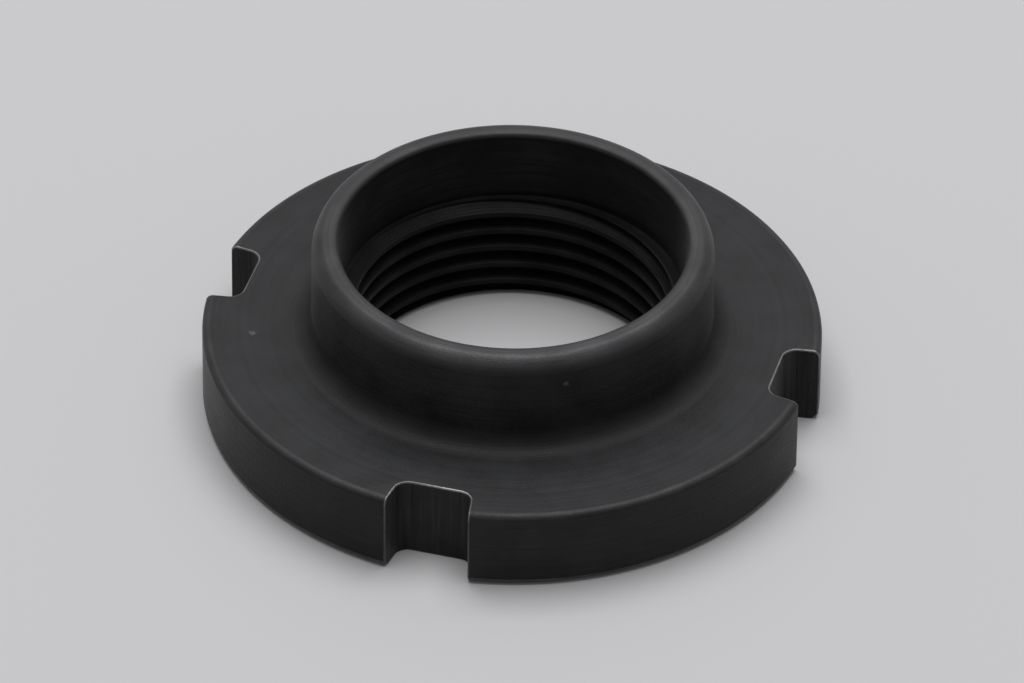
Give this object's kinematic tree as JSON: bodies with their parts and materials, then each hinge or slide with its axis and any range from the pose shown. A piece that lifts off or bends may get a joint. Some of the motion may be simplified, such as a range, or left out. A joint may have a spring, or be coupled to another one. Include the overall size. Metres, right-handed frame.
{
  "type": "ring nut",
  "caption": "Round steel ring nut with spanner slots in its flange, a fine threaded bore and a thin turned collar that can be staked into a shaft's keyway.",
  "frame": {"origin": "centre of the flange's flat seating face", "axes": "+Z along the thread's axis towards the collar's rim, +X through the middle of a spanner slot"},
  "size_m": [0.0436, 0.0436, 0.0136],
  "materials": {
    "phosphated_steel": "dark grey phosphated steel, satin, with fine turning marks"
  },
  "bodies": {
    "root": {"ring_nut": "phosphated_steel"}
  },
  "joints": []
}
